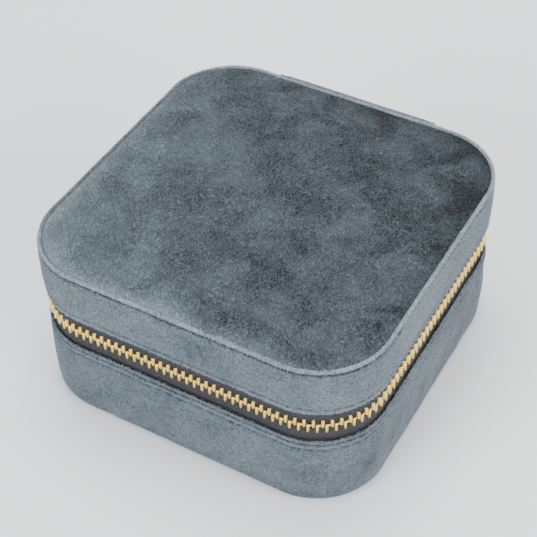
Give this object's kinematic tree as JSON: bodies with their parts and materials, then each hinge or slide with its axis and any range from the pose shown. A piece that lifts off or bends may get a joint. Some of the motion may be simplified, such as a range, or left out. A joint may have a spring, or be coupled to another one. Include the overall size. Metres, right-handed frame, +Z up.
{
  "type": "travel jewelry case",
  "caption": "Square zip-round jewelry case with rounded corners, velvet over stiff trays, a metal zip, ring rolls, compartments and a mirror in the lid.",
  "frame": {"origin": "middle of the case's bottom face, on the surface that it stands on", "axes": "+Z up; the front is at -Y and the cloth hinge at +Y; +X is to the right as seen from the front; the parked zip slider is on the left side, at -X"},
  "size_m": [0.1028, 0.1011, 0.051],
  "materials": {
    "velvet": "short-pile slate blue velvet",
    "lining_velvet": "flocked lining in the same slate blue",
    "zip_tape": "charcoal woven tape",
    "gold_metal": "pale gold plated, polished",
    "foam": "thin soft foam sheet",
    "board": "grey board",
    "mirror": "silvered glass"
  },
  "bodies": {
    "base": {"base_bottom_panel": "velvet", "base_velvet_band": "velvet", "base_foam_wrap": "foam", "base_bottom_board": "board", "base_wall_board": "board", "base_lining_wall": "lining_velvet", "base_floor_lining": "lining_velvet", "base_zip_tape": "zip_tape", "base_zip_teeth": "gold_metal", "base_zip_teeth_left": "gold_metal", "base_zip_stop": "gold_metal", "hinge_strip_lower": "velvet", "hinge_fold": "velvet", "hinge_lining_lower": "lining_velvet", "ring_roll_1": "lining_velvet", "ring_roll_2": "lining_velvet", "ring_roll_3": "lining_velvet", "ring_roll_4": "lining_velvet", "ring_roll_5": "lining_velvet", "ring_roll_6": "lining_velvet", "ring_roll_7": "lining_velvet", "long_divider": "lining_velvet", "cross_divider_front": "lining_velvet", "cross_divider_rear": "lining_velvet"},
    "lid": {"lid_top_panel": "velvet", "lid_velvet_band": "velvet", "lid_top_foam": "foam", "lid_foam_wrap": "foam", "lid_top_board": "board", "lid_wall_board": "board", "lid_lining_wall": "lining_velvet", "lid_ceiling_lining": "lining_velvet", "mirror_frame": "lining_velvet", "mirror_glass": "mirror", "lid_zip_tape": "zip_tape", "lid_zip_teeth": "gold_metal", "lid_zip_teeth_left": "gold_metal", "lid_zip_stop": "gold_metal", "hinge_strip_upper": "velvet", "hinge_lining_upper": "lining_velvet"},
    "slider": {"slider_body": "gold_metal", "slider_crown": "gold_metal"},
    "pull": {"pull_tab": "gold_metal"}
  },
  "joints": [
    {"name": "lid_hinge", "type": "hinge", "parent": "base", "child": "lid", "pos_m": [0, 0.05058, 0.0305], "axis": [-1, 0, 0], "range_deg": [0, 110]},
    {"name": "zip_slide", "type": "slide", "parent": "base", "child": "slider", "axis": [0, -1, 0], "range_m": [0, 0.046], "deforming": ["base_zip_teeth_left", "lid_zip_teeth_left"]},
    {"name": "pull_swing", "type": "hinge", "parent": "slider", "child": "pull", "pos_m": [-0.0513, 0.022, 0.0305], "axis": [0, 0, -1], "range_deg": [0, 165]}
  ]
}
